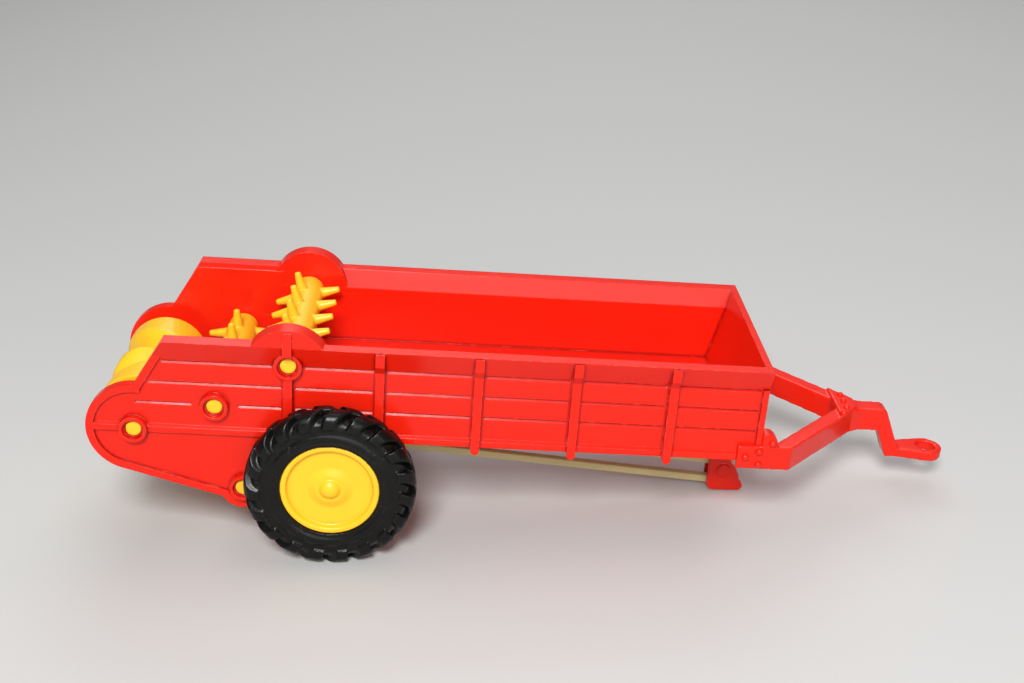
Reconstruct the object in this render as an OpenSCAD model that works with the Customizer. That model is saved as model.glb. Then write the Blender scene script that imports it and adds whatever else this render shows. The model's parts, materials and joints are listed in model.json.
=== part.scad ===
// Toy manure spreader: cast tub and drawbar, tined beaters, rear spiral, lugged wheels, stand and band.
// Sizes are in millimetres. Shapes are drawn level about the axle, then parked on the tyres and the stand.

/* [Tub] */
// Half the width over the upright side walls
tub_half_w = 13.8; // [12:0.1:16]
// Thickness of the cast side walls
wall_t = 1.2; // [1:0.1:1.8]
// Front end of the side walls, ahead of the axle
front_x = 57.8; // [50:0.1:66]
// Lower edge of the side walls, above the axle
wall_z0 = 5.1; // [4:0.1:5.6]
// Line where the side walls start to flare
kink_z = 15.7; // [14:0.1:17]
// Top edge of the flared boards
top_z = 19; // [18:0.1:22]
// How far the flared boards lean out
flare_out = 1.7; // [1:0.05:2.2]
// Thickness of the flared boards at the top edge
flare_t = 1.85; // [1.2:0.05:2.4]
// Height of the thick root inside the flared boards
flare_root = 0.7; // [0.4:0.05:1.2]
// Upper face of the floor
floor_z = 8.1; // [7.6:0.1:9]
// Thickness of the floor
floor_t = 1.2; // [1:0.1:1.6]
// Rear edge of the floor, ahead of the axle
floor_rear_x = -10; // [-10.2:0.1:-6]
// Lean of the front board's inner face over the height of the tub
front_lean = 2.7; // [1:0.1:4]
// Thickness of the front board at the floor
front_t = 1.3; // [1:0.1:2]
// Thickness of the front board at the top edge
front_top_t = 0.9; // [0.6:0.05:1.4]
// Rear end of the top edge
rear_top_x = -22.2; // [-23:0.1:-20]
// Run of the slanted rear edge for each millimetre of height
rear_slant = 0.59; // [0.3:0.01:0.7]
// Radius of the lobe round the rear spiral's shaft
rear_lobe_r = 6.35; // [5.9:0.05:7]
// Radius of the lobe round the low shaft
low_lobe_r = 3.25; // [2.8:0.05:3.6]
// How far the lower rear edge cuts into the lowest lobe
low_cut = 0.9; // [0.3:0.05:1.1]
// Radius of the lobe round the upper beater's shaft
top_lobe_r = 5.55; // [5:0.05:6]
// Height of the upper lobe's centre above the upper shaft
top_lobe_up = 0.1; // [0:0.05:1]
// Radius of the lobe round the axle
axle_lobe_r = 3.3; // [2.8:0.1:4]
// Where the lower edge starts to drop to the axle, ahead of the axle
drop_x = 9; // [8:0.1:10]
// Front end of the filled-up rear of the flared boards
fill_x = -9.9; // [-10.4:0.1:-8]
// Chamfer along the inner edge of the filled-up part
fill_chamfer = 0.6; // [0.2:0.05:1.6]
// Lean of the upper lobe's inner face
lobe_lean = 0.4; // [0.2:0.05:0.8]

/* [Relief] */
// Width of the upright braces
brace_w = 1.2; // [0.8:0.1:1.6]
// How far the braces stand out from the side walls
brace_out = 0.9; // [0.5:0.05:1.1]
// Distance from brace to brace
brace_pitch = 13; // [12:0.1:14]
// First brace ahead of the axle
brace_first_x = 6; // [5:0.1:7]
// Lower end of the braces
brace_z0 = 4.2; // [3.6:0.1:4.8]
// How far the braces end below the top edge
brace_drop = 0.2; // [0.1:0.05:0.6]
// How far the braces stand out past the top edge
brace_lip = 0.06; // [0.04:0.02:0.2]
// How far the brace over the upper lobe stands out from the lobe
lobe_rib = 0.12; // [0.08:0.02:0.4]
// Height of the slope that takes the braces out to the top edge
brace_rise = 1.2; // [0.8:0.1:1.6]
// Height of the sill along the lower edge
sill_h = 1.2; // [0.8:0.1:1.6]
// How far the sill, the rim and the corner post stand out
relief_out = 0.35; // [0.2:0.05:0.6]
// Width of the raised rim round the rear panel
rim_w = 1.05; // [0.6:0.05:1.4]
// Front end of the raised rim, ahead of the axle
rim_front_x = -9; // [-9.6:0.1:-8.4]
// Height of one plank
plank_h = 3.05; // [2.8:0.05:3.3]
// Depth of the plank grooves
groove_d = 0.25; // [0.2:0.05:0.5]
// Height of the bevel under each groove
groove_h = 0.45; // [0.3:0.05:0.9]
// Drop from the upper edge of a groove to its deepest line
groove_lip = 0.12; // [0.04:0.02:0.2]
// Gap between a plank line and the relief beside it
plank_gap = 0.3; // [0.2:0.05:0.6]
// Gap between a plank line and the lower beater's boss
boss_gap = 1.2; // [0.6:0.1:1.6]
// Width of the front corner post
post_w = 0.8; // [0.6:0.1:1.6]

/* [Shafts] */
// Rear spiral's shaft, along
spiral_x = -26.5; // [-28:0.1:-25.5]
// Rear spiral's shaft, up
spiral_z = 5.55; // [5:0.05:6]
// Lower beater's shaft, along
lower_x = -15.75; // [-16:0.05:-15.5]
// Lower beater's shaft, up
lower_z = 9.4; // [9:0.05:9.8]
// Upper beater's shaft, along
upper_x = -6.05; // [-6.5:0.05:-5.6]
// Upper beater's shaft, up
upper_z = 15.85; // [15.4:0.05:16.4]
// Low shaft, along
low_x = -12; // [-12.5:0.05:-11.5]
// Low shaft, up
low_z = -2.65; // [-3.1:0.05:-2.3]
// Radius of the shaft ends
pin_r = 1.08; // [0.8:0.02:1.2]
// Radius of the bosses round the shaft ends
boss_r = 1.85; // [1.7:0.05:2.1]
// How far the bosses stand out from the wall
boss_out = 1; // [0.6:0.05:1.1]
// Radius of the mouth in each boss
mouth_r = 1.42; // [1.32:0.02:1.55]
// How far the shaft ends lie back in the bosses
pin_back = 0.55; // [0.3:0.05:0.7]
// Radius of the beater and spiral cores
core_r = 2.2; // [1.8:0.05:2.4]
// Radius of the low shaft between the walls
low_core_r = 1.6; // [1.3:0.05:2.2]

/* [Beaters] */
// Radius at the tips of the tines
tine_tip_r = 4.75; // [4:0.05:4.9]
// Radius of a tine where it leaves the core
tine_root = 0.85; // [0.7:0.05:1.15]
// Radius of a tine at its tip
tine_end = 0.42; // [0.36:0.02:0.6]
// How deep the tines start inside the core
tine_sunk = 0.5; // [0.3:0.05:0.8]
// Distance from tine to tine along a row
tine_pitch = 5; // [4.5:0.1:5.3]
// Turn of the upper beater as stored
upper_turn = 16; // [0:1:89]
// Turn of the lower beater as stored
lower_turn = 4; // [0:1:89]

/* [Spiral] */
// Outer radius of the flights
flight_r = 5.8; // [5:0.05:5.85]
// Radius at the bottom of the valley between the turns
valley_r = 3.4; // [2.6:0.05:4.6]
// Share of a turn that the valley takes, in degrees
valley_arc = 180; // [60:10:240]
// Length of each flight from the middle outwards
flight_len = 10; // [9:0.1:11.5]
// Turn of each flight over its length
flight_turn = 264; // [180:2:420]
// Turn of the valley at the middle, as stored
spiral_turn = 30; // [0:5:355]

/* [Wheels] */
// Radius at the tips of the lugs
tyre_r = 11.5; // [10.5:0.1:12.5]
// Height of the lugs
lug_h = 1.1; // [0.6:0.05:1.4]
// Width of the tyre
tyre_w = 4.1; // [3.4:0.1:5]
// Gap between the side wall and the inner face of the tyre
tyre_gap = 1.3; // [1.2:0.05:2.4]
// Number of lugs on each half of the tread
lug_count = 19; // [12:1:22]
// Width of a lug
lug_w = 2.3; // [1.6:0.05:2.6]
// Width of a lug at its end on the shoulder
lug_end_w = 1.1; // [0.8:0.05:2]
// Sideways sweep of a lug from the middle to the shoulder
lug_sweep = 2.2; // [1:0.1:2.8]
// Share of the sweep at the knee of a lug
knee_sweep = 0.62; // [0.4:0.02:0.8]
// Place of the knee across the tyre, as a share of its width
knee_at = 0.78; // [0.7:0.02:0.86]
// How far the lugs of one half run past the middle of the tread
lug_past = 0.2; // [0:0.05:0.5]
// Rounding of the lugs over the shoulder
lug_round = 1.5; // [0.8:0.05:1.8]
// How far the lugs reach down the sidewall from their tips
lug_reach = 2.2; // [1.9:0.05:2.6]
// How far the sidewall lies inside the ends of the lugs
sidewall_in = 0.3; // [0.2:0.05:0.5]
// Rounding of the tyre's body over the shoulder
shoulder_r = 1.2; // [0.8:0.05:1.5]
// Radius of the rounded ridge beside the rim
ridge_r = 1.05; // [0.8:0.05:1.1]
// Distance from the rim to the middle of the ridge
ridge_at = 1.2; // [1.15:0.05:1.4]
// Radius of the wheel rim
rim_r = 6.6; // [6:0.05:7.2]
// Width of the raised ring of the rim
rim_ring = 0.7; // [0.4:0.05:1]
// How far the rim's face lies inside the tyre's outer face
rim_back = 0.5; // [0.3:0.05:0.9]
// Thickness of the rim behind the wheel's disc
rim_t = 0.8; // [0.6:0.05:1.2]
// Depth of the hollow behind the wheel's disc
hollow_d = 1; // [0.5:0.1:1.6]
// Depth of the dish inside the rim
dish_d = 0.7; // [0.3:0.05:0.9]
// Run of the slope from the rim's ring down to the dish
dish_run = 0.25; // [0.1:0.05:0.5]
// Fall of the dish towards the middle
dish_fall = 0.15; // [0:0.05:0.3]
// Radius of the cone in the middle of the wheel
cone_r = 3; // [2.4:0.05:3.4]
// Radius at the top of the cone
cone_top_r = 1.95; // [1.75:0.05:2.2]
// Radius of the round nub on the cone
nub_r = 1.65; // [1.2:0.05:1.7]
// How far the nub stands out past the rim's face
nub_out = 0.45; // [0.2:0.05:0.5]
// How far the nub stands out from the cone
nub_h = 0.85; // [0.6:0.05:1]
// Radius of the axle
axle_r = 1.2; // [0.9:0.05:1.5]
// Length of the axle inside each wheel
axle_seat = 2.2; // [1.6:0.1:2.4]

/* [Drawbar] */
// Rear end of the cheeks on the tub
cheek_x = 54.6; // [52:0.1:56]
// Thickness of the cheeks
cheek_t = 0.8; // [0.5:0.05:1.2]
// Underside of the drawbar
bar_z0 = 4.1; // [3.6:0.1:4.6]
// Height of the arms
bar_h = 3.4; // [2.8:0.1:3.8]
// Angle of the arms to the middle line
arm_angle = 47; // [42:0.5:52]
// Width of the arms
arm_w = 2.3; // [1.8:0.1:2.8]
// Bend of the arms ahead of the tub
bend_out = 4.1; // [3.4:0.1:5]
// Half the width of the tongue
tongue_half_w = 1.4; // [1:0.05:1.8]
// Front end of the tongue ahead of the tub
tongue_len = 21; // [18:0.1:24]
// Length of the gusset plate
gusset_len = 3.05; // [2.4:0.05:4.4]
// Thickness of the gusset plate
gusset_t = 0.4; // [0.3:0.05:0.9]
// Fill in the corner between an arm's outer side and the tongue
throat_fill = 0.9; // [0.4:0.05:1.4]
// Drop from the tongue's underside to the eye's underside
eye_drop = 4.15; // [3:0.05:5]
// Forward run of the sloping leg
leg_run = 2.5; // [1.4:0.1:3]
// Length of the sloping leg along the toy
leg_w = 2.3; // [1.6:0.05:2.8]
// Chamfer over the bend from the tongue to the leg
bend_chamfer = 0.6; // [0.3:0.05:1]
// Distance from the tongue's end to the middle of the eye
eye_reach = 7.05; // [6:0.05:9]
// Thickness of the eye
eye_t = 1.45; // [1.1:0.05:2]
// Outer radius of the eye
eye_r = 2.35; // [2.1:0.05:3]
// Radius of the hole in the eye
eye_hole_r = 1.35; // [1.1:0.05:1.6]
// Length of the taper from the eye back to the bar
eye_taper = 2.2; // [1.4:0.1:3]
// Radius of the rounded ears on the cheeks
ear_r = 1.55; // [1:0.05:1.8]
// Middle of an ear ahead of the tub
ear_x = 0.6; // [0.3:0.05:1.2]
// Middle of an ear above the arms
ear_up = 0.4; // [0:0.05:0.8]

/* [Stand] */
// Rear edge of the stand, ahead of the axle
stand_x = 53.9; // [52:0.1:56]
// Length of the stand's post
post_len = 3.2; // [2.6:0.1:3.6]
// Height of the yoke that joins the stand's cheeks
yoke_h = 2; // [1.4:0.1:2.4]
// Half the width of the stand
stand_half_w = 1.7; // [1.4:0.05:2.2]
// Thickness of the stand's cheeks
stand_t = 0.8; // [0.6:0.05:1]
// Underside of the foot below the axle
foot_z = -6.8; // [-7.6:0.1:-6.7]
// Reach of the toe ahead of the stand's rear edge
toe_reach = 5.3; // [4.8:0.1:6.4]
// Radius of the toe
toe_r = 0.8; // [0.5:0.05:1]
// Chamfer at the heel of the stand
heel = 0.6; // [0.3:0.05:1]
// Rise from the peg to where the stand narrows to its post
post_rise = 2.2; // [1.8:0.1:3]
// Peg that carries the band, ahead of the stand's rear edge
peg_dx = 2.2; // [1.9:0.05:2.5]
// Height of the peg above the foot's underside
peg_up = 2.5; // [2.4:0.05:3.2]
// Radius of the peg
peg_r = 1; // [0.7:0.05:1.2]
// Height of the round heads on the cheeks above the peg
head_up = 0.8; // [0.4:0.05:1]
// How far the heads stand out from the cheeks
head_out = 0.35; // [0.2:0.05:0.6]

/* [Band] */
// Thickness of the rubber band
band_t = 1.1; // [0.6:0.05:1.2]
// Width of the rubber band
band_w = 1.2; // [0.8:0.05:1.5]

/* [Clearances] */
// Radial play of the shafts and the axle in their bores
play = 0.06; // [0.03:0.01:0.09]
// Play between the turning cores and the walls
side_play = 0.3; // [0.2:0.05:0.6]
// Play of the band round the axle
band_play = 0.12; // [0.08:0.01:0.3]
// Play of the tyre on the rim, and of the band on the peg
seat_play = 0.03; // [0.02:0.01:0.06]

/* [Hidden] */
$fn = 64;
eps = 0.4;
// Straight edges run this far inside the arcs that they meet
tuck = 0.02;
inner_w = tub_half_w - wall_t;
flare_w = tub_half_w + flare_out;
floor_z0 = floor_z - floor_t;
AXLE = [0, 0];
SPIRAL = [spiral_x, spiral_z];
LOWER = [lower_x, lower_z];
UPPER = [upper_x, upper_z];
LOW = [low_x, low_z];
TOP_LOBE = [upper_x, upper_z + top_lobe_up];
flare_lean = flare_out / (top_z - kink_z);
lobe_top = upper_z + top_lobe_up + top_lobe_r;
tail = spiral_x - rear_lobe_r;
board_foot_x = front_x - front_top_t - front_lean;
boss_face = tub_half_w + boss_out;
pin_end = boss_face - pin_back;
bore_r = pin_r + play;
core_half = inner_w - side_play;
// Facets of the spiral: angle round it, and steps along a flight
flight_step = 10;
flight_slices = 24;
braces = [for (i = [0 : 3]) brace_first_x + i * brace_pitch];
plank_zs = [for (i = [0 : 2]) kink_z - i * plank_h];
bar_z1 = bar_z0 + bar_h;
cheek_out = tub_half_w + cheek_t;
bend_x = front_x + bend_out;
throat_x = arm_x(tongue_half_w);
tongue_x = front_x + tongue_len;
eye_x = tongue_x + eye_reach;
eye_z0 = bar_z0 - eye_drop;
eye_z1 = eye_z0 + eye_t;
tyre_in = tub_half_w + tyre_gap;
rim_face = tyre_w - rim_back;
nub_top = rim_face + nub_out;
lug_foot_r = tyre_r - lug_reach;
PEG = [stand_x + peg_dx, foot_z + peg_up];
TOE = [stand_x + toe_reach - toe_r, foot_z + toe_r];
band_axle_r = axle_r + band_play;
band_peg_r = peg_r + seat_play;

// Nose-down lean that brings the toe of the stand to the ground the tyres stand on
toe_arm = norm(TOE);
pitch = asin((tyre_r - toe_r) / toe_arm) - atan2(-TOE[1], TOE[0]);
tail_x = spiral_x * cos(pitch) + spiral_z * sin(pitch) - rear_lobe_r;
nose_x = eye_x * cos(pitch) + eye_r * cos(pitch) + eye_z1 * sin(pitch);
mid_x = (tail_x + nose_x) / 2;

RED = [0.85, 0.06, 0.03];
YELLOW = [0.98, 0.75, 0.08];
BLACK = [0.05, 0.05, 0.055];
CREAM = [0.87, 0.8, 0.58];
STEEL = [0.6, 0.6, 0.62];

// Where the outer side of an arm, set in by a distance, lies along the toy, and where it lies across it
function arm_x(y, in = 0) = bend_x - (in + (y - cheek_out) * cos(arm_angle)) / sin(arm_angle);
function arm_y(x) = cheek_out - (x - bend_x) * tan(arm_angle);

// Where the front side of the sloping leg lies at a height
function leg_x(z) = tongue_x + leg_run * (bar_z1 - z) / (bar_z1 - eye_z1);

// Ends of the straight edge that runs along two circles on one side: -1 below, 1 above, going forward
function touch(a, ra, b, rb, side = -1) =
    let (d = b - a, way = atan2(d[1], d[0]) + side * acos((ra - rb) / norm(d)), n = [cos(way), sin(way)])
    [a + (ra - tuck) * n, b + (rb - tuck) * n];

// Point of the slanted rear edge at a height, set in by a distance
function slant(z, in = 0) = [rear_top_x - (top_z - z) * rear_slant + in * norm([1, rear_slant]), z];

// Stands the level shapes on the ground, nose down on the toe of the stand
module parked() {
    translate([-mid_x, 0, tyre_r])
        rotate([0, pitch, 0])
            children();
}

// Stands the wheels on the ground
module rolled() {
    translate([-mid_x, 0, tyre_r])
        children();
}

// A side outline made solid from y0 to y1
module across(y0, y1) {
    translate([0, y1, 0])
        rotate([90, 0, 0])
            linear_extrude(y1 - y0)
                children();
}

// A cross-section made solid from x0 to x1
module along(x0, x1) {
    translate([x0, 0, 0])
        rotate([90, 0, 90])
            linear_extrude(x1 - x0)
                children();
}

module both() {
    children();
    mirror([0, 1, 0])
        children();
}

// A flat outline and its mirror image across the middle line of the plan view
module both_flat() {
    children();
    mirror([0, 1])
        children();
}

// A cross-section and its mirror image across the toy
module both_flat_y() {
    children();
    mirror([1, 0])
        children();
}

// A round bar or bore across the toy at a point of the side view
module bar(at, r, y0, y1) {
    translate([at[0], y1, at[1]])
        rotate([90, 0, 0])
            cylinder(r = r, h = y1 - y0);
}

// Outline of the side wall up to a height, set in by a distance
module wall_outline(in = 0, top = kink_z) {
    rear = touch(SPIRAL, rear_lobe_r - in, LOW, low_lobe_r - low_cut - in);
    mid = touch(LOW, low_lobe_r - in, AXLE, axle_lobe_r - in);
    fore = touch(AXLE, axle_lobe_r - in, [drop_x, wall_z0 + in], tuck);
    polygon([
        [front_x - in, wall_z0 + in],
        [front_x - in, top],
        slant(top, in),
        slant(spiral_z + rear_lobe_r - eps, in),
        rear[0], rear[1], mid[0], mid[1], fore[0], fore[1]
    ]);
    translate(SPIRAL)
        circle(rear_lobe_r - in);
    translate(LOW)
        circle(low_lobe_r - in);
    circle(axle_lobe_r - in);
}

module flare_board() {
    intersection() {
        across(inner_w - eps, flare_w + eps)
            polygon([[front_x, kink_z - eps], [front_x, top_z], [rear_top_x, top_z], slant(kink_z - eps)]);
        along(tail, front_x)
            polygon([[inner_w, kink_z - eps], [tub_half_w, kink_z - eps], [tub_half_w, kink_z],
                [flare_w, top_z], [flare_w - flare_t, top_z], [inner_w, kink_z + flare_root]]);
    }
}

// The rear end of the flared board is filled up inside
module rear_fill() {
    intersection() {
        across(inner_w - eps, flare_w + eps)
            polygon([[fill_x, kink_z], [fill_x, top_z], [rear_top_x, top_z], slant(kink_z)]);
        along(tail, front_x)
            polygon([[inner_w, kink_z], [tub_half_w - eps, kink_z], [flare_w - eps, top_z],
                [inner_w + fill_chamfer, top_z], [inner_w, top_z - fill_chamfer]]);
    }
}

// The upper lobe leans out with the board and stands upright above it
module upper_lobe() {
    intersection() {
        bar(TOP_LOBE, top_lobe_r, inner_w, flare_w + eps);
        along(tail, front_x)
            polygon([[inner_w + tuck, kink_z - top_lobe_r], [tub_half_w - tuck, kink_z - top_lobe_r],
                [tub_half_w - tuck, kink_z], [flare_w - tuck, top_z], [flare_w - tuck, lobe_top + eps],
                [inner_w + lobe_lean, lobe_top + eps], [inner_w + lobe_lean, lobe_top - lobe_lean],
                [inner_w + tuck, top_z - fill_chamfer]]);
    }
}

// An upright brace, which slopes out over the flared board to a distance past its edge
module brace(x, top, past) {
    foot = brace_z0 + brace_w / 2;
    face = tub_half_w + brace_out;
    along(x - brace_w / 2, x + brace_w / 2)
        polygon([[tub_half_w - eps, foot], [face, foot], [face, kink_z],
            [flare_w + past, kink_z + brace_rise], [flare_w + past, top], [flare_w - flare_t / 2, top],
            [tub_half_w - eps, kink_z]]);
    bar([x, foot], brace_w / 2 - tuck, tub_half_w - eps, face);
}

module sill(x0, x1) {
    along(x0, x1)
        polygon([[tub_half_w - eps, wall_z0], [tub_half_w + relief_out, wall_z0],
            [tub_half_w + relief_out, wall_z0 + sill_h - relief_out], [tub_half_w, wall_z0 + sill_h],
            [tub_half_w - eps, wall_z0 + sill_h]]);
}

// Raised rim round the rear panel, which runs out under the flared board
module rim() {
    top = kink_z + (relief_out + tuck) / flare_lean;
    across(tub_half_w - eps, tub_half_w + relief_out)
        difference() {
            intersection() {
                wall_outline(tuck, top);
                translate([tail - eps, -tyre_r])
                    square([rim_front_x - tail + eps, tyre_r + top_z]);
            }
            wall_outline(rim_w, top + eps);
        }
}

module side_wall() {
    across(inner_w, tub_half_w)
        wall_outline();
    flare_board();
    rear_fill();
    upper_lobe();
    rim();
    sill(tail + rim_w / 2, cheek_x);
    for (x = braces)
        brace(x, top_z - brace_drop, brace_lip);
    brace(upper_x, lobe_top - 2 * brace_drop, lobe_rib);
    across(tub_half_w - eps, tub_half_w + relief_out)
        translate([front_x - post_w, bar_z1])
            square([post_w, kink_z - bar_z1]);
    for (at = [SPIRAL, LOWER, UPPER, LOW, AXLE])
        bar(at, boss_r, tub_half_w - eps, boss_face);
}

// One plank line from x0 to x1
module groove(z, x0, x1) {
    along(x0, x1)
        polygon([[tub_half_w + tuck, z + tuck], [tub_half_w - groove_d, z - groove_lip],
            [tub_half_w + tuck, z - groove_h]]);
}

module grooves() {
    gap = brace_w / 2 + plank_gap;
    cells = concat([upper_x], braces, [front_x - post_w + brace_w / 2]);
    for (z = plank_zs)
        for (i = [0 : len(cells) - 2])
            groove(z, cells[i] + (z == kink_z && i == 0 ? boss_r + plank_gap : gap), cells[i + 1] - gap);
    groove(kink_z, slant(kink_z, rim_w + plank_gap)[0], upper_x - boss_r - plank_gap);
    groove(plank_zs[1], slant(plank_zs[1], rim_w + plank_gap)[0], upper_x - gap);
    groove(plank_zs[2], slant(plank_zs[2], rim_w + plank_gap)[0], lower_x - boss_r - boss_gap);
    groove(plank_zs[2], lower_x + boss_r + boss_gap, upper_x - gap);
}

module shaft_bore(at) {
    bar(at, bore_r, inner_w - eps, boss_face + eps);
    bar(at, mouth_r, pin_end, boss_face + eps);
}

module front_board() {
    intersection() {
        across(-flare_w, flare_w)
            polygon([[board_foot_x, floor_z0], [board_foot_x + front_t, floor_z0], [front_x, top_z],
                [front_x - front_top_t, top_z], [board_foot_x, floor_z]]);
        along(board_foot_x - eps, front_x)
            both_flat_y()
                polygon([[0, floor_z0], [inner_w + eps, floor_z0], [inner_w + eps, kink_z + flare_root],
                    [flare_w - flare_t + eps, top_z], [0, top_z]]);
    }
}

module tub() {
    color(RED)
        parked()
            difference() {
                union() {
                    both()
                        side_wall();
                    front_board();
                    translate([floor_rear_x, -inner_w - eps, floor_z0])
                        cube([board_foot_x + front_t / 2 - floor_rear_x, 2 * (inner_w + eps), floor_t]);
                }
                both() {
                    grooves();
                    for (at = [SPIRAL, LOWER, UPPER, LOW])
                        shaft_bore(at);
                    bar(UPPER, boss_r, boss_face, flare_w + lobe_rib + eps);
                    bar(AXLE, axle_r + play, inner_w - eps, boss_face + eps);
                }
            }
}

// Arm of the drawbar seen from above, with its cheek on the tub
module arm_outline() {
    polygon([
        [cheek_x, tub_half_w], [cheek_x, cheek_out], [bend_x, cheek_out],
        [arm_x(tongue_half_w + throat_fill), tongue_half_w + throat_fill],
        [throat_x + throat_fill, tongue_half_w], [arm_x(tongue_half_w, arm_w), tongue_half_w],
        [max(front_x, arm_x(tub_half_w, arm_w)), tub_half_w]
    ]);
}

// Gusset plate over the place where the arms meet, seen from above
module gusset_outline() {
    rear_x = throat_x - gusset_len;
    polygon([[throat_x, 0], [throat_x, tongue_half_w], [rear_x, arm_y(rear_x)], [rear_x, 0]]);
}

// Tongue, leg and the bar of the eye seen from the side
module tongue_outline() {
    polygon([[arm_x(tongue_half_w, arm_w), bar_z0], [arm_x(tongue_half_w, arm_w), bar_z1],
        [tongue_x - bend_chamfer, bar_z1], [tongue_x, bar_z1 - bend_chamfer / 2],
        [tongue_x + leg_run, eye_z1], [eye_x - eye_hole_r, eye_z1], [eye_x - eye_hole_r, eye_z0],
        [leg_x(eye_z0) - leg_w, eye_z0], [leg_x(bar_z0) - leg_w, bar_z0]]);
}

// Half of the eye and its taper seen from above
module eye_outline() {
    side = touch([eye_x - eye_r - eye_taper, 0], tongue_half_w, [eye_x, 0], eye_r, 1);
    polygon([[side[0][0], 0], side[0], side[1], [eye_x, 0]]);
}

// Rounded ear on the cheek, ahead of the tub
module ear() {
    across(inner_w, cheek_out)
        intersection() {
            translate([front_x + ear_x, bar_z1 + ear_up])
                circle(ear_r);
            translate([front_x, bar_z0])
                square([2 * ear_r, bar_h + 2 * ear_r]);
        }
}

module drawbar() {
    color(RED)
        parked()
            difference() {
                union() {
                    translate([0, 0, bar_z0])
                        linear_extrude(bar_h)
                            both_flat()
                                arm_outline();
                    translate([0, 0, bar_z1 - eps])
                        linear_extrude(gusset_t + eps)
                            both_flat()
                                gusset_outline();
                    across(-tongue_half_w, tongue_half_w)
                        tongue_outline();
                    both()
                        ear();
                    translate([0, 0, eye_z0])
                        linear_extrude(eye_t)
                            both_flat()
                                eye_outline();
                    translate([eye_x, 0, eye_z0])
                        cylinder(r = eye_r, h = eye_t);
                }
                translate([eye_x, 0, eye_z0 - eps])
                    cylinder(r = eye_hole_r, h = eye_t + 2 * eps);
            }
}

// Cheek of the stand seen from the side
module stand_outline() {
    post_x1 = stand_x + post_len;
    polygon([[stand_x, floor_z0], [stand_x, foot_z + heel], [stand_x + heel, foot_z], [TOE[0], foot_z],
        [TOE[0] + toe_r, TOE[1]], [PEG[0] + peg_dx, PEG[1]], [post_x1, PEG[1] + post_rise],
        [post_x1, floor_z0]]);
    translate(TOE)
        circle(toe_r);
    translate(PEG)
        circle(peg_dx - tuck);
}

module stand() {
    yoke_w = stand_half_w - stand_t + eps;
    color(RED)
        parked() {
            both()
                across(stand_half_w - stand_t, stand_half_w)
                    stand_outline();
            translate([stand_x, -yoke_w, floor_z0 - yoke_h])
                cube([post_len, 2 * yoke_w, yoke_h]);
            bar(PEG, peg_r, -yoke_w, yoke_w);
            both()
                bar(PEG + [0, head_up], peg_r, stand_half_w - eps, stand_half_w + head_out);
        }
}

// Loop round the axle and the peg, grown by a distance
module band_outline(grow = 0) {
    low = touch(AXLE, band_axle_r + grow, PEG, band_peg_r + grow);
    up = touch(AXLE, band_axle_r + grow, PEG, band_peg_r + grow, 1);
    polygon([low[0], low[1], up[1], up[0]]);
    circle(band_axle_r + grow);
    translate(PEG)
        circle(band_peg_r + grow);
}

module drive_band() {
    color(CREAM)
        parked()
            across(-band_w / 2, band_w / 2)
                difference() {
                    band_outline(band_t);
                    band_outline();
                }
}

module axle() {
    color(STEEL)
        rolled()
            bar(AXLE, axle_r, -tyre_in - axle_seat, tyre_in + axle_seat);
}

// Tyre's body cut through: radius across, width up from the middle of the tread
module carcass_section() {
    r0 = rim_r + seat_play;
    r1 = tyre_r - lug_h - shoulder_r;
    side = tyre_w / 2 - sidewall_in;
    translate([r0, -side])
        square([r1 - r0, 2 * side]);
    translate([r0, shoulder_r - side])
        square([r1 + shoulder_r - r0, 2 * (side - shoulder_r)]);
    for (way = [-1, 1]) {
        translate([r1, way * (side - shoulder_r)])
            circle(shoulder_r);
        translate([rim_r + ridge_at, way * (tyre_w / 2 - ridge_r - tuck)])
            circle(ridge_r);
    }
}

// The space that the lugs fill, cut through in the same way
module lug_section() {
    translate([lug_foot_r, -tyre_w / 2])
        square([tyre_r - lug_round - lug_foot_r, tyre_w]);
    translate([lug_foot_r, lug_round - tyre_w / 2])
        square([tyre_r - lug_foot_r, tyre_w - 2 * lug_round]);
    for (way = [-1, 1])
        translate([tyre_r - lug_round, way * (tyre_w / 2 - lug_round)])
            circle(lug_round);
}

// One lug seen from outside the tread, from the middle to the shoulder
module lug_outline() {
    mid = tyre_w / 2 - lug_past;
    polygon([[-lug_w / 2, mid], [lug_w / 2, mid], [lug_sweep * knee_sweep + lug_w / 2, tyre_w * knee_at],
        [lug_sweep + lug_end_w / 2, tyre_w + eps], [lug_sweep - lug_end_w / 2, tyre_w + eps],
        [lug_sweep * knee_sweep - lug_w / 2, tyre_w * knee_at]]);
}

module lug() {
    translate([lug_foot_r - eps, 0, 0])
        rotate([90, 0, 90])
            linear_extrude(tyre_r - lug_foot_r + 2 * eps)
                lug_outline();
}

// The tyre lies along its own axle, outer face up
module tyre() {
    step = 360 / lug_count;
    rotate_extrude()
        translate([0, tyre_w / 2])
            carcass_section();
    intersection() {
        rotate_extrude()
            translate([0, tyre_w / 2])
                lug_section();
        for (i = [0 : lug_count - 1]) {
            rotate([0, 0, i * step])
                lug();
            rotate([0, 0, (i + 0.5) * step])
                translate([0, 0, tyre_w])
                    mirror([0, 0, 1])
                        lug();
        }
    }
}

// The wheel lies along its own axle, outer face up
module hub() {
    dish_z = rim_face - dish_d;
    cone_z = nub_top - nub_h;
    ring_r = rim_r - rim_ring;
    difference() {
        union() {
            rotate_extrude()
                polygon([[0, 0], [cone_r, 0], [cone_r, hollow_d], [rim_r - rim_t, hollow_d],
                    [rim_r - rim_t, sidewall_in], [rim_r, sidewall_in], [rim_r, rim_face],
                    [ring_r, rim_face], [ring_r - dish_run, dish_z], [cone_r, dish_z - dish_fall],
                    [cone_top_r, cone_z], [0, cone_z]]);
            translate([0, 0, nub_top - nub_r])
                sphere(nub_r);
        }
        translate([0, 0, -eps])
            cylinder(r = axle_r + seat_play, h = axle_seat + eps + seat_play);
    }
}

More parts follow.
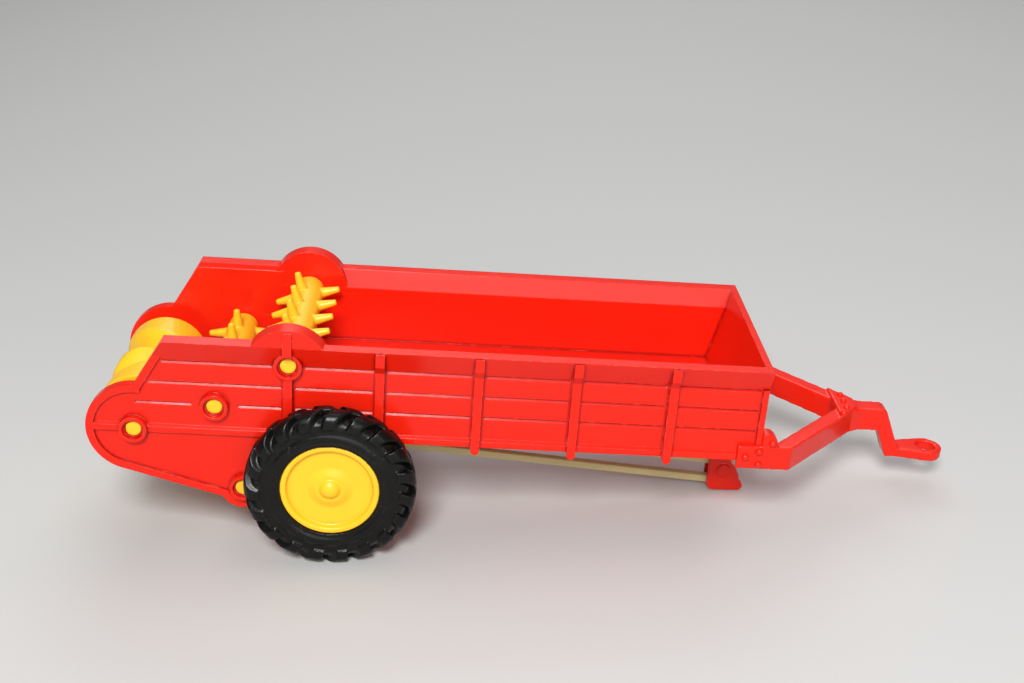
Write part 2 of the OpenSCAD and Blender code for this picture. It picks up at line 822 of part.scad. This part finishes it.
module right_wheel() {
    rolled()
        translate([0, -tyre_in, 0])
            rotate([90, 0, 0])
                children();
}

module left_wheel() {
    rolled()
        mirror([0, 1, 0])
            translate([0, -tyre_in, 0])
                rotate([90, 0, 0])
                    children();
}

module hub_right() {
    color(YELLOW)
        right_wheel()
            hub();
}

module hub_left() {
    color(YELLOW)
        left_wheel()
            hub();
}

module tyre_right() {
    color(BLACK)
        right_wheel()
            tyre();
}

module tyre_left() {
    color(BLACK)
        left_wheel()
            tyre();
}

// A core with its shaft ends
module core(at, r) {
    bar(at, r, -core_half, core_half);
    bar(at, pin_r, -pin_end, pin_end);
}

// One tine out of a core, at a turn and a place across the toy
module tine(at, turn, y) {
    translate([at[0], y, at[1]])
        rotate([0, 90 - turn, 0])
            translate([0, 0, core_r - tine_sunk])
                cylinder(r1 = tine_root, r2 = tine_end, h = tine_tip_r - core_r + tine_sunk, $fn = 24);
}

module tines(at, turn) {
    for (k = [0, 2])
        for (i = [-2 : 2])
            tine(at, turn + 90 * k, i * tine_pitch);
    for (k = [1, 3])
        for (i = [-1.5 : 1.5])
            tine(at, turn + 90 * k, i * tine_pitch);
}

module upper_beater() {
    color(YELLOW)
        parked() {
            core(UPPER, core_r);
            tines(UPPER, upper_turn);
        }
}

module lower_beater() {
    color(YELLOW)
        parked() {
            core(LOWER, core_r);
            tines(LOWER, lower_turn);
        }
}

// Radius of the spiral at an angle from the middle of its valley
function spiral_r(a) = a > valley_arc / 2 ? flight_r
    : flight_r - (flight_r - valley_r) * (1 + cos(360 * a / valley_arc)) / 2;

// Section of the spiral: broad and round, with one valley
module flight_section() {
    polygon([for (a = [0 : flight_step : 359]) spiral_r(min(a, 360 - a)) * [cos(a), sin(a)]]);
}

// One flight from the middle of the spiral to its end
module flight() {
    linear_extrude(height = flight_len, twist = -flight_turn, slices = flight_slices, $fn = 12)
        rotate(spiral_turn)
            flight_section();
}

module rear_spiral() {
    color(YELLOW)
        parked() {
            core(SPIRAL, core_r);
            translate([spiral_x, 0, spiral_z])
                both()
                    rotate([90, 0, 0])
                        flight();
        }
}

module low_shaft() {
    color(YELLOW)
        parked()
            core(LOW, low_core_r);
}

tub();
drawbar();
stand();
drive_band();
axle();
hub_right();
hub_left();
tyre_right();
tyre_left();
upper_beater();
lower_beater();
rear_spiral();
low_shaft();
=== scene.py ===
"""Looks of the toy manure spreader: soft cast edges, paint, plastic, rubber, rivets, studio and camera."""

import json
import math

import bmesh
import bpy
from mathutils import Matrix, Vector


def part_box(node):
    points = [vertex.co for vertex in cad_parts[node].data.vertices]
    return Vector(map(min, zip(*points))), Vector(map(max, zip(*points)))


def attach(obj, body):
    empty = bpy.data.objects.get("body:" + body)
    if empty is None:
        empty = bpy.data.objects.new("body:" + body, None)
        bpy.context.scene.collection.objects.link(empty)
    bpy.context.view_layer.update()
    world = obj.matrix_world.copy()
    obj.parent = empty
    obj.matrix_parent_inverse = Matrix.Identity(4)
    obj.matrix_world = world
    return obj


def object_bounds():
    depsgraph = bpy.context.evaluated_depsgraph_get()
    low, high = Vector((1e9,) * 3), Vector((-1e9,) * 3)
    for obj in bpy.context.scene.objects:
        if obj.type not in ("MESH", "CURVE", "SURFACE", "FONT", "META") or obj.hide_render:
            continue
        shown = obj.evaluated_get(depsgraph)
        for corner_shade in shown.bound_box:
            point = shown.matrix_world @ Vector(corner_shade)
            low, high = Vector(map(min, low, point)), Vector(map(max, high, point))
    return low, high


MM = 0.001

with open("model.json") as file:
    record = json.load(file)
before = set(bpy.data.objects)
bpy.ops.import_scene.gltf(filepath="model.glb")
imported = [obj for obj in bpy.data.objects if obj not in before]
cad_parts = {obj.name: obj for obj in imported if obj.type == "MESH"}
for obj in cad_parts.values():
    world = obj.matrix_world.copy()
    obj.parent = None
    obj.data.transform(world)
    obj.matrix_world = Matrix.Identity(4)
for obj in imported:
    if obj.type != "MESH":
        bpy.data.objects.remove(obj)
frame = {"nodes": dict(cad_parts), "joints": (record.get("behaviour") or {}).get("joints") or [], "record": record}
cad_low, cad_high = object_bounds()
nodes = frame["nodes"]

# The toy parks nose down, so places on it are given level, in millimetres from the middle of the axle
joint_at = {joint["name"]: Vector(joint["pos_m"]) for joint in frame["joints"]}
eye_axis = frame["record"]["mounts"][0]["axis"]
pitch = math.atan2(eye_axis[0], eye_axis[2])
LEVEL = Matrix.Translation(joint_at["wheelset_spin"]) @ Matrix.Rotation(pitch, 4, "Y")

# Camera of the photo, level too: where it stands, what it looks at, its roll and its lens
CAMERA_AT = Vector((13.73, -178.91, 95.05)) * MM
CAMERA_TARGET = Vector((23.76, 0, 14.69)) * MM
CAMERA_ROLL = math.radians(4.28)
CAMERA_LENS = 48.79
CAMERA_SENSOR = 36
CAMERA_CLIP = 0.01

# Materials: how the shared parts of the node trees are tuned
NOISE_DETAIL = 3.0
NOISE_ROUGHNESS = 0.55
SPECK_CORE = 0.4
# Painted shade in corners: its occlusion samples, and the values where it starts and where it is full
SHADE_SAMPLES = 8
SHADE_STARTS, SHADE_FULL = 0.95, 0.45
BEVEL_SAMPLES = 6
EDGE_STARTS, EDGE_FULL = 0.99, 0.86

# Soft skins: the grain in millimetres and the smoothing passes of each melted piece
SKINS = {"upper_beater": (0.13, 4), "lower_beater": (0.13, 4), "rear_spiral": (0.15, 5),
         "tyre_right": (0.15, 4), "tyre_left": (0.15, 4), "hub_right": (0.12, 3), "hub_left": (0.12, 3),
         "drawbar": (0.14, 5), "stand": (0.14, 5), "drive_band": (0.14, 6)}
SMOOTH_FACTOR = 0.5

# Rivets, level: x and z on each cheek, x and y on the gusset's top, and the size of each kind of head
CHEEK_RIVETS = ((55.7, 5.9), (57.5, 6.8), (57.6, 4.85), (59.2, 8.1))
CHEEK_HEAD = {"radius": 0.55, "height": 0.55}
GUSSET_RIVETS = ((72.5, -2), (72.5, 0), (72.5, 2), (71.6, -3.9))
GUSSET_TOP = 7.85
GUSSET_HEAD = {"radius": 0.5, "height": 0.55}
DOME_SEGMENTS = 24
DOME_RINGS = 12

# Studio, in metres: each light's place and target from the middle of the toy, its size, and its watts
LIGHTS = {"key": ((-0.05, -0.345, 0.31), (0, 0, 0), (0.13, 0.13), 2.35),
          "top": ((0.05, 0.1, 0.5), (0, 0, 0), (0.5, 0.4), 0.9),
          "back": ((0.05, 0.5, 0.42), (0, 0.25, 0), (0.5, 0.3), 1.3),
          "fill": ((0.1, -0.43, 0.13), (0, 0, 0), (0.3, 0.2), 0.5)}
WORLD_COLOUR = (1, 1, 1, 1)
WORLD_STRENGTH = 0.15
FLOOR_HALF = 3.0
FLOOR_COLOUR = (0.52, 0.52, 0.51, 1)
FLOOR_ROUGHNESS = 0.9


def level_point(x, y, z):
    """A level place on the toy, in millimetres, as a point of the frame."""
    return LEVEL @ (Vector((x, y, z)) * MM)


# Materials

class Paint:
    """Builds one node material step by step, with textures in millimetres of the part."""

    def __init__(self, name):
        self.material = bpy.data.materials.new(name)
        self.material.use_nodes = True
        self.tree = self.material.node_tree
        self.shader = self.tree.nodes["Principled BSDF"]
        place = self.tree.nodes.new("ShaderNodeTexCoord")
        self.scaled = self.tree.nodes.new("ShaderNodeVectorMath")
        self.scaled.operation = "SCALE"
        self.scaled.inputs["Scale"].default_value = 1 / MM
        self.join(place.outputs["Object"], self.scaled.inputs[0])

    def join(self, source, target):
        self.tree.links.new(source, target)

    def set(self, **values):
        """Sets plain values on the shader's own sockets."""
        for name, value in values.items():
            self.shader.inputs[name.replace("_", " ")].default_value = value

    def noise(self, size, detail=NOISE_DETAIL, stretch=(1, 1, 1)):
        """Noise with features of about that many millimetres."""
        node = self.tree.nodes.new("ShaderNodeTexNoise")
        node.inputs["Scale"].default_value = 1 / size
        node.inputs["Detail"].default_value = detail
        node.inputs["Roughness"].default_value = NOISE_ROUGHNESS
        stretched = self.tree.nodes.new("ShaderNodeVectorMath")
        stretched.operation = "MULTIPLY"
        stretched.inputs[1].default_value = stretch
        self.join(self.scaled.outputs[0], stretched.inputs[0])
        self.join(stretched.outputs[0], node.inputs["Vector"])
        return node.outputs["Fac"]

    def specks(self, spacing, radius):
        """Round specks, one in each cell of a scatter."""
        node = self.tree.nodes.new("ShaderNodeTexVoronoi")
        node.inputs["Scale"].default_value = 1 / spacing
        self.join(self.scaled.outputs[0], node.inputs["Vector"])
        return self.ramp(node.outputs["Distance"], radius / spacing, SPECK_CORE * radius / spacing)

    def ramp(self, source, low, high):
        """Goes from 0 at low to 1 at high, smoothly."""
        node = self.tree.nodes.new("ShaderNodeMapRange")
        node.interpolation_type = "SMOOTHSTEP"
        node.inputs["From Min"].default_value = low
        node.inputs["From Max"].default_value = high
        self.join(source, node.inputs["Value"])
        return node.outputs["Result"]

    def spread(self, source, low, high):
        """Takes a 0 to 1 value to a range."""
        node = self.tree.nodes.new("ShaderNodeMapRange")
        node.inputs["To Min"].default_value = low
        node.inputs["To Max"].default_value = high
        self.join(source, node.inputs["Value"])
        return node.outputs["Result"]

    def times(self, first, second):
        node = self.tree.nodes.new("ShaderNodeMath")
        node.operation = "MULTIPLY"
        self.join(first, node.inputs[0])
        self.join(second, node.inputs[1])
        return node.outputs[0]

    def painted_shade(self, reach):
        """1 in corners and grooves narrower than the reach, 0 in the open: the mask for shade painted into the
        colour.
        """
        node = self.tree.nodes.new("ShaderNodeAmbientOcclusion")
        node.samples = SHADE_SAMPLES
        node.only_local = True
        node.inputs["Distance"].default_value = reach * MM
        return self.ramp(node.outputs["AO"], SHADE_STARTS, SHADE_FULL)

    def soft_normal(self, radius):
        """Surface direction with every edge rounded by a radius in millimetres."""
        node = self.tree.nodes.new("ShaderNodeBevel")
        node.samples = BEVEL_SAMPLES
        node.inputs["Radius"].default_value = radius * MM
        return node.outputs["Normal"]

    def edges(self, soft):
        """1 on the edges that a soft normal rounds, 0 on the faces between them."""
        sharp = self.tree.nodes.new("ShaderNodeNewGeometry")
        node = self.tree.nodes.new("ShaderNodeVectorMath")
        node.operation = "DOT_PRODUCT"
        self.join(soft, node.inputs[0])
        self.join(sharp.outputs["Normal"], node.inputs[1])
        return self.ramp(node.outputs["Value"], EDGE_STARTS, EDGE_FULL)

    def mix(self, share, first, second):
        """Colour that goes from first to second with the share."""
        node = self.tree.nodes.new("ShaderNodeMix")
        node.data_type = "RGBA"
        self.join(share, node.inputs["Factor"])
        for socket, value in zip(("A", "B"), (first, second)):
            target = next(i for i in node.inputs if i.name == socket and i.type == "RGBA")
            if isinstance(value, tuple):
                target.default_value = (*value, 1)
            else:
                self.join(value, target)
        return next(o for o in node.outputs if o.type == "RGBA")

    def colour(self, source):
        self.join(source, self.shader.inputs["Base Color"])

    def roughness(self, source):
        self.join(source, self.shader.inputs["Roughness"])

    def bumps(self, *layers, base=None):
        """Stacks bumps on a base normal, each a height source and its height in millimetres."""
        last = base
        for source, height in layers:
            node = self.tree.nodes.new("ShaderNodeBump")
            node.inputs["Distance"].default_value = height * MM
            self.join(source, node.inputs["Height"])
            if last:
                self.join(last, node.inputs["Normal"])
            last = node.outputs["Normal"]
        self.join(last, self.shader.inputs["Normal"])


def red_paint():
    """Gloss paint on the castings: painted shade in grooves, paler edges that are partly rubbed paint and partly a
    painted highlight, with a few worn spots.
    """
    # The groove colour is painted shade; the edge colour is partly wear and partly a painted highlight.
    dark, light, groove_shade = (0.68, 0.011, 0.003), (0.80, 0.017, 0.005), (0.34, 0.003, 0.002)
    wear_and_highlight, spot = (0.88, 0.10, 0.06), (0.58, 0.012, 0.007)
    paint = Paint("red_paint")
    paint.set(IOR=1.31, Coat_Weight=0.1, Coat_Roughness=0.08)
    soft = paint.soft_normal(radius=0.16)
    body = paint.mix(paint.noise(size=14), dark, light)
    # Painted shade: darker red in grooves and corners.
    shaded = paint.mix(paint.painted_shade(reach=0.7), body, groove_shade)
    patchy = paint.ramp(paint.noise(size=1.2, detail=4), low=0.5, high=0.62)
    # Paler edges: partly rubbed paint, partly a painted highlight.
    rubbed_and_highlit = paint.mix(paint.times(paint.edges(soft), patchy), shaded, wear_and_highlight)
    spots = paint.ramp(paint.noise(size=0.5, detail=4), low=0.69, high=0.75)
    areas = paint.ramp(paint.noise(size=5), low=0.5, high=0.62)
    paint.colour(paint.mix(paint.times(spots, areas), rubbed_and_highlit, spot))
    paint.roughness(paint.spread(paint.noise(size=2.2), low=0.16, high=0.28))
    waves, wave_height = paint.noise(size=1.1, detail=2), 0.02
    specks, speck_height = paint.specks(spacing=2.6, radius=0.16), 0.04
    paint.bumps((waves, wave_height), (specks, speck_height), base=soft)
    return paint.material


def yellow_plastic():
    """Rotors, shafts and hubs: painted shade in corners, paler edges that are partly rubbed and partly a painted
    highlight.
    """
    dark, light = (0.86, 0.46, 0.012), (0.93, 0.55, 0.022)
    corner_shade, wear_and_highlight = (0.74, 0.22, 0.003), (0.95, 0.68, 0.12)
    paint = Paint("yellow_plastic")
    paint.set(IOR=1.4, Coat_Weight=0.1, Coat_Roughness=0.2)
    soft = paint.soft_normal(radius=0.12)
    body = paint.mix(paint.noise(size=7), dark, light)
    # Painted shade: warmer, darker yellow in corners.
    shaded = paint.mix(paint.painted_shade(reach=0.9), body, corner_shade)
    patchy = paint.ramp(paint.noise(size=0.9, detail=4), low=0.48, high=0.6)
    # Paler edges: partly rubbed, partly a painted highlight.
    paint.colour(paint.mix(paint.times(paint.edges(soft), patchy), shaded, wear_and_highlight))
    paint.roughness(paint.spread(paint.noise(size=1.6), low=0.28, high=0.44))
    waves, wave_height = paint.noise(size=0.9, detail=2), 0.02
    specks, speck_height = paint.specks(spacing=3.4, radius=0.12), 0.03
    paint.bumps((waves, wave_height), (specks, speck_height), base=soft)
    return paint.material


def tyre_rubber():
    """Black rubber with a soft sheen and a little dust."""
    dark, light, dusty = (0.0015, 0.0015, 0.0015), (0.004, 0.004, 0.0036), (0.024, 0.024, 0.021)
    paint = Paint("tyre_rubber")
    paint.set(IOR=1.32)
    body = paint.mix(paint.noise(size=2.5), dark, light)
    grains = paint.ramp(paint.noise(size=0.35, detail=5), low=0.56, high=0.68)
    areas = paint.ramp(paint.noise(size=3), low=0.45, high=0.65)
    paint.colour(paint.mix(paint.times(grains, areas), body, dusty))
    paint.roughness(paint.spread(paint.noise(size=0.8), low=0.25, high=0.38))
    waves, wave_height = paint.noise(size=0.6), 0.02
    paint.bumps((waves, wave_height))
    return paint.material


def band_rubber():
    """Pale rubber band, streaked along its length, with shade painted into its corners."""
    dark, light, corner_shade = (0.50, 0.43, 0.19), (0.60, 0.53, 0.26), (0.42, 0.34, 0.14)
    paint = Paint("band_rubber")
    paint.set(IOR=1.5)
    body = paint.mix(paint.noise(size=3, stretch=(0.2, 1, 1)), dark, light)
    # Painted shade: darker in the band's corners.
    paint.colour(paint.mix(paint.painted_shade(reach=0.8), body, corner_shade))
    paint.roughness(paint.spread(paint.noise(size=0.6), low=0.5, high=0.75))
    streaks, streak_height = paint.noise(size=0.3, detail=4, stretch=(0.15, 1, 1)), 0.05
    paint.bumps((streaks, streak_height))
    return paint.material


def axle_steel():
    """Drawn steel with faint rings and a few brown stains."""
    dark, light, stain = (0.42, 0.42, 0.43), (0.60, 0.59, 0.58), (0.20, 0.16, 0.13)
    paint = Paint("axle_steel")
    paint.set(Metallic=1.0)
    body = paint.mix(paint.noise(size=2), dark, light)
    stains = paint.ramp(paint.noise(size=0.7, detail=4), low=0.6, high=0.72)
    paint.colour(paint.mix(stains, body, stain))
    paint.roughness(paint.spread(paint.noise(size=0.25, stretch=(1, 8, 1)), low=0.25, high=0.5))
    rings, ring_height = paint.noise(size=0.2, stretch=(1, 10, 1)), 0.02
    paint.bumps((rings, ring_height), base=paint.soft_normal(radius=0.1))
    return paint.material


LOOKS = {"red_paint": red_paint(), "yellow_plastic": yellow_plastic(), "tyre_rubber": tyre_rubber(),
         "band_rubber": band_rubber(), "axle_steel": axle_steel()}
SLOT_OF = {part["node"]: part["material_slot"] for part in frame["record"]["subparts"]}


def dress(piece, slot):
    """Gives a piece the look of a material slot."""
    piece.data.materials.clear()
    piece.data.materials.append(LOOKS[slot])


for name, node in nodes.items():
    dress(node, SLOT_OF[name])


# Soft skins

def melt(name, grain, passes):
    """Blends a casting or moulding into one soft skin, with rounded edges and fillets in its corners."""
    piece = nodes[name]
    skin = piece.modifiers.new("skin", "REMESH")
    skin.mode = "VOXEL"
    skin.voxel_size = grain * MM
    skin.use_smooth_shade = True
    smooth = piece.modifiers.new("smooth", "SMOOTH")
    smooth.factor = SMOOTH_FACTOR
    smooth.iterations = passes


for name, (grain, passes) in SKINS.items():
    melt(name, grain, passes)


# Rivets of the drawbar

def dome(mesh, place, way, radius, height):
    """Adds one closed dome to a mesh, half sunk where it sits."""
    turn = Vector((0, 0, 1)).rotation_difference(way).to_matrix().to_4x4()
    shape = Matrix.Diagonal((radius * MM, radius * MM, height * MM, 1))
    bmesh.ops.create_uvsphere(mesh, u_segments=DOME_SEGMENTS, v_segments=DOME_RINGS, radius=1,
                              matrix=Matrix.Translation(place) @ turn @ shape)


def rivets():
    """The heads on both cheeks and on the gusset plate, as one piece."""
    mesh = bmesh.new()
    up = LEVEL.to_3x3() @ Vector((0, 0, 1))
    cheek_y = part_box("drawbar")[1].y / MM
    for side in (-1, 1):
        for x, z in CHEEK_RIVETS:
            dome(mesh, level_point(x, side * cheek_y, z), Vector((0, side, 0)), **CHEEK_HEAD)
    for x, y in GUSSET_RIVETS:
        dome(mesh, level_point(x, y, GUSSET_TOP), up, **GUSSET_HEAD)
    data = bpy.data.meshes.new("drawbar_rivets")
    mesh.to_mesh(data)
    mesh.free()
    data.polygons.foreach_set("use_smooth", [True] * len(data.polygons))
    piece = bpy.data.objects.new("drawbar_rivets", data)
    bpy.context.scene.collection.objects.link(piece)
    dress(piece, "red_paint")
    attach(piece, "frame")


rivets()


# Studio

def floor():
    data = bpy.data.meshes.new("floor")
    corners = [(-FLOOR_HALF, -FLOOR_HALF, 0), (FLOOR_HALF, -FLOOR_HALF, 0),
               (FLOOR_HALF, FLOOR_HALF, 0), (-FLOOR_HALF, FLOOR_HALF, 0)]
    data.from_pydata(corners, [], [(0, 1, 2, 3)])
    piece = bpy.data.objects.new("floor", data)
    bpy.context.scene.collection.objects.link(piece)
    paint = Paint("floor_paper")
    paint.set(Base_Color=FLOOR_COLOUR, Roughness=FLOOR_ROUGHNESS)
    data.materials.append(paint.material)


def area_light(name, place, target, size, power):
    data = bpy.data.lights.new(name, "AREA")
    data.shape = "RECTANGLE"
    data.size, data.size_y = size
    data.energy = power
    light = bpy.data.objects.new(name, data)
    light.location = place
    light.rotation_euler = (target - place).to_track_quat("-Z", "Y").to_euler()
    bpy.context.scene.collection.objects.link(light)


def studio():
    """Four soft lights round the toy, and a faint even light from everywhere."""
    middle = (cad_low + cad_high) / 2
    for name, (place, target, size, power) in LIGHTS.items():
        area_light(name, middle + Vector(place), middle + Vector(target), size, power)
    scene = bpy.context.scene
    scene.view_settings.view_transform = "Standard"
    scene.world = scene.world or bpy.data.worlds.new("studio")
    scene.world.use_nodes = True
    back = scene.world.node_tree.nodes["Background"]
    back.inputs["Color"].default_value = WORLD_COLOUR
    back.inputs["Strength"].default_value = WORLD_STRENGTH


def camera():
    data = bpy.data.cameras.new("camera")
    data.sensor_width = CAMERA_SENSOR
    data.lens = CAMERA_LENS
    data.clip_start = CAMERA_CLIP
    view = bpy.data.objects.new("camera", data)
    turn = (CAMERA_TARGET - CAMERA_AT).to_track_quat("-Z", "Y").to_matrix().to_4x4()
    roll = Matrix.Rotation(CAMERA_ROLL, 4, "Z")
    view.matrix_world = LEVEL @ Matrix.Translation(CAMERA_AT) @ turn @ roll
    bpy.context.scene.collection.objects.link(view)
    bpy.context.scene.camera = view


floor()
studio()
camera()
